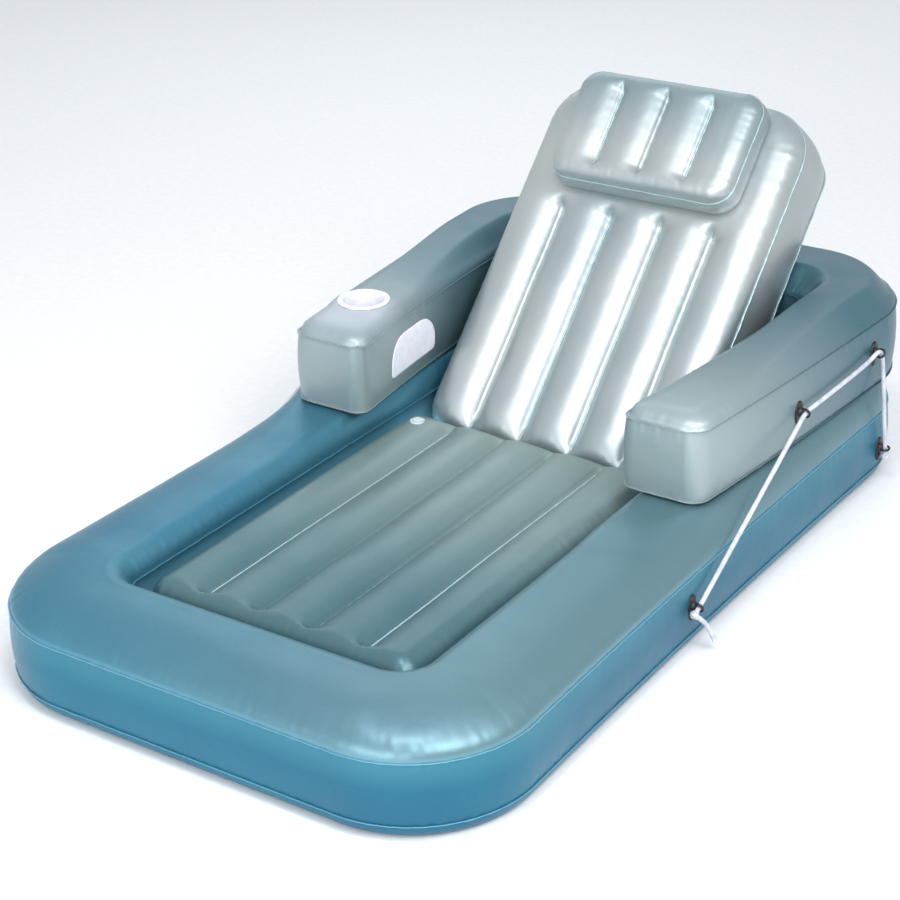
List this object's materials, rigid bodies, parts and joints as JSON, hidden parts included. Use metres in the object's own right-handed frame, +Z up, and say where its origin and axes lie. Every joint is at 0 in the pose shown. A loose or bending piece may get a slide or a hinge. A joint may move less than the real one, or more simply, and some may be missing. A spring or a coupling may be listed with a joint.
{
  "type": "inflatable pool lounger",
  "caption": "Inflatable pool lounger: tubed seat in a raised border, reclining backrest with pillow, a U-shaped arm ring with a cup holder, roped down through moulded eyelets.",
  "frame": {"origin": "on the floor, at the centre of the base", "axes": "+X across to the sitter's left, which is the side away from the cup holder, +Y from the foot end to the head end, +Z up"},
  "size_m": [1.0346, 1.664, 0.7077],
  "materials": {
    "blue_film": "glossy translucent blue vinyl film",
    "deck_film": "glossy translucent blue-grey vinyl film",
    "ring_film": "glossy pearl blue-grey vinyl film",
    "seat_film": "glossy pearl grey-green vinyl film",
    "pearl_film": "satin silver pearl vinyl film",
    "clear_film": "clear vinyl film",
    "cup_holder": "white vinyl",
    "patch": "blank white vinyl",
    "eyelet": "black moulded vinyl",
    "rope": "white braided polyester",
    "valve_body": "clear soft vinyl",
    "valve_cap": "clear soft vinyl",
    "valve_flap": "soft vinyl"
  },
  "bodies": {
    "float": {"arm_patch": "patch", "arm_ring_bottom_sheet": "ring_film", "arm_ring_side_band": "ring_film", "arm_ring_top_sheet": "ring_film", "arm_ring_valve_flap": "valve_flap", "arm_ring_valve_stem": "valve_body", "base_bottom_sheet": "blue_film", "base_floor_webs": "clear_film", "base_side_band": "blue_film", "base_top_sheet": "deck_film", "base_valve_flap": "valve_flap", "base_valve_stem": "valve_body", "cup_holder": "cup_holder", "eyelet_left_arm_front": "eyelet", "eyelet_left_arm_rear": "eyelet", "eyelet_left_foot": "eyelet", "eyelet_left_head": "eyelet", "eyelet_right_arm_front": "eyelet", "eyelet_right_arm_rear": "eyelet", "eyelet_right_foot": "eyelet", "eyelet_right_head": "eyelet", "hinge_strip": "clear_film", "rope_left": "rope", "rope_right": "rope", "seat_bottom_sheet": "seat_film", "seat_top_sheet": "seat_film", "seat_valve_flap": "valve_flap", "seat_valve_stem": "valve_body", "seat_webs": "clear_film"},
    "backrest": {"backrest_back_sheet": "pearl_film", "backrest_front_sheet": "pearl_film", "backrest_side_band": "pearl_film", "backrest_valve_flap": "valve_flap", "backrest_valve_stem": "valve_body", "backrest_webs": "clear_film", "pillow_back_sheet": "pearl_film", "pillow_front_sheet": "pearl_film", "pillow_side_band": "pearl_film", "pillow_valve_flap": "valve_flap", "pillow_valve_stem": "valve_body", "pillow_webs": "clear_film"},
    "base_valve_cap": {"base_valve_cap": "valve_cap"},
    "seat_valve_cap": {"seat_valve_cap": "valve_cap"},
    "arm_ring_valve_cap": {"arm_ring_valve_cap": "valve_cap"},
    "backrest_valve_cap": {"backrest_valve_cap": "valve_cap"},
    "pillow_valve_cap": {"pillow_valve_cap": "valve_cap"}
  },
  "joints": [
    {"name": "backrest_recline", "type": "hinge", "parent": "float", "child": "backrest", "pos_m": [0, 0.2, 0.1], "axis": [1, 0, 0], "range_deg": [0, 50]},
    {"name": "base_valve_cap_hinge", "type": "hinge", "parent": "float", "child": "base_valve_cap", "pos_m": [-0.48697, -0.42, 0.096], "axis": [0, 1, 0], "range_deg": [0, 140]},
    {"name": "seat_valve_cap_hinge", "type": "hinge", "parent": "float", "child": "seat_valve_cap", "pos_m": [-0.2056, 0.108, 0.1664], "axis": [0, 1, 0], "range_deg": [0, 140]},
    {"name": "arm_ring_valve_cap_hinge", "type": "hinge", "parent": "float", "child": "arm_ring_valve_cap", "pos_m": [-0.47285, 0.44, 0.248], "axis": [0, 1, 0], "range_deg": [0, 140]},
    {"name": "backrest_valve_cap_hinge", "type": "hinge", "parent": "backrest", "child": "backrest_valve_cap", "pos_m": [0.162, 0.75253, 0.45256], "axis": [0, -0.7071, -0.7071], "range_deg": [0, 140]},
    {"name": "pillow_valve_cap_hinge", "type": "hinge", "parent": "backrest", "child": "pillow_valve_cap", "pos_m": [-0.1934, 0.61012, 0.60912], "axis": [0, 0.7071, 0.7071], "range_deg": [0, 140]}
  ]
}
